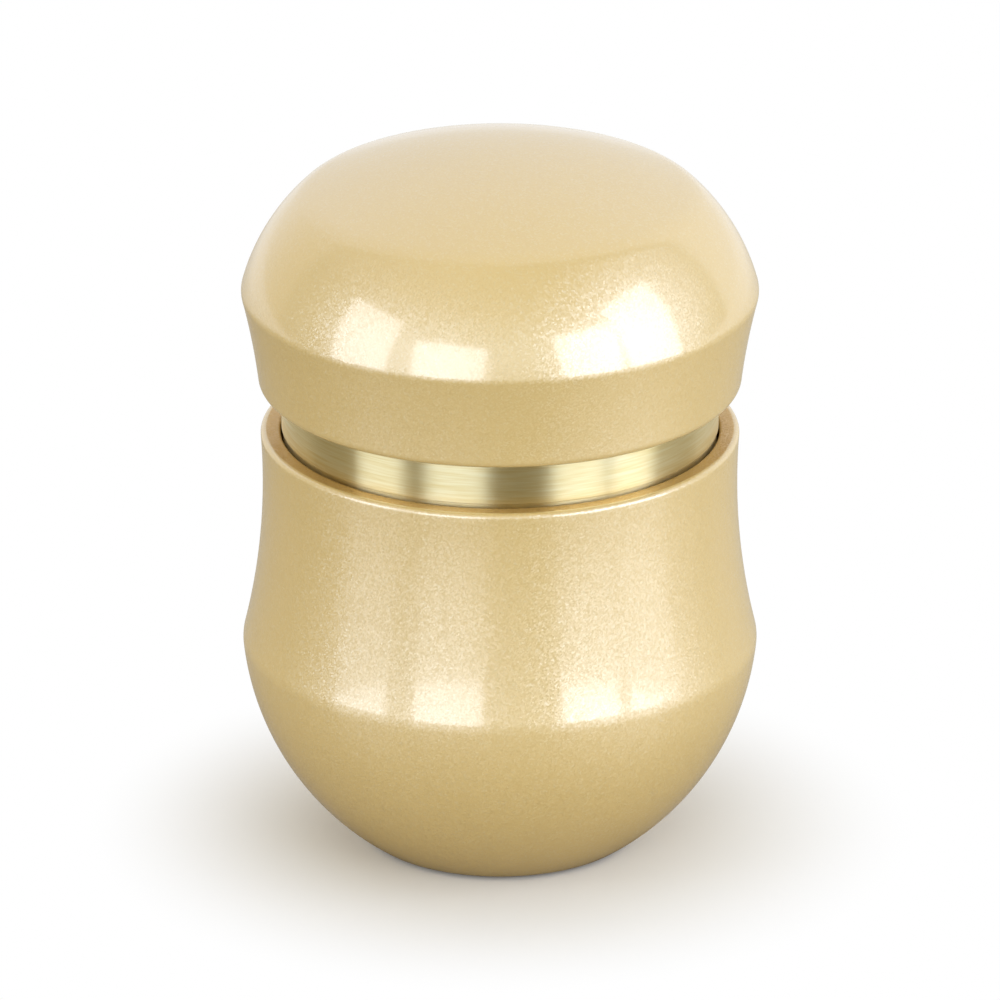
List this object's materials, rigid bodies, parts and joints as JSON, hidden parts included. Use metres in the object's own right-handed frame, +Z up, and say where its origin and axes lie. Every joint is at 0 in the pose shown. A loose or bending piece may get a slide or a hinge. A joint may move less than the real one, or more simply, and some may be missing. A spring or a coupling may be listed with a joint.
{
  "type": "hand-twist grinder",
  "caption": "Closed round hand grinder: domed lacquered cap on a brass collar that turns in a flared bowl, with toothed plates, sieve and magnets inside.",
  "frame": {"origin": "on the axis of the grinder, at the underside of the foot pad", "axes": "+Z up along the axis the cap turns about; -Y faces the camera of the picture"},
  "size_m": [0.0549, 0.0548, 0.0772],
  "materials": {
    "lacquer": "gloss",
    "brass": "satin",
    "tooth_metal": "satin",
    "sieve_metal": "satin",
    "sieve_wire": "satin",
    "magnet": "polished",
    "screw_steel": "satin",
    "glide_plastic": "matte",
    "seal_rubber": "matte",
    "foot_silicone": "matte"
  },
  "bodies": {
    "bowl": {"bowl_shell": "lacquer", "foot_pad": "foot_silicone", "drive_pins": "screw_steel"},
    "sieve": {"sieve_cup": "sieve_metal", "sieve_mesh": "sieve_wire", "mesh_ring": "sieve_metal"},
    "insert": {"grinding_insert": "tooth_metal", "insert_magnet": "magnet", "insert_seal": "seal_rubber"},
    "glide": {"glide_ring": "glide_plastic"},
    "cap": {"cap_shell": "lacquer", "brass_collar": "brass", "upper_tooth_plate": "tooth_metal", "cap_magnet": "magnet", "cap_screws": "screw_steel"}
  },
  "joints": [
    {"name": "sieve_lift", "type": "slide", "parent": "bowl", "child": "sieve", "axis": [0, 0, 1], "range_m": [0, 0.04]},
    {"name": "insert_lift", "type": "slide", "parent": "sieve", "child": "insert", "axis": [0, 0, 1], "range_m": [0, 0.03]},
    {"name": "cap_lift", "type": "slide", "parent": "insert", "child": "glide", "axis": [0, 0, 1], "range_m": [0, 0.03]},
    {"name": "cap_turn", "type": "hinge", "parent": "glide", "child": "cap", "pos_m": [0, 0, 0.05], "axis": [0, 0, 1], "continuous": true}
  ]
}
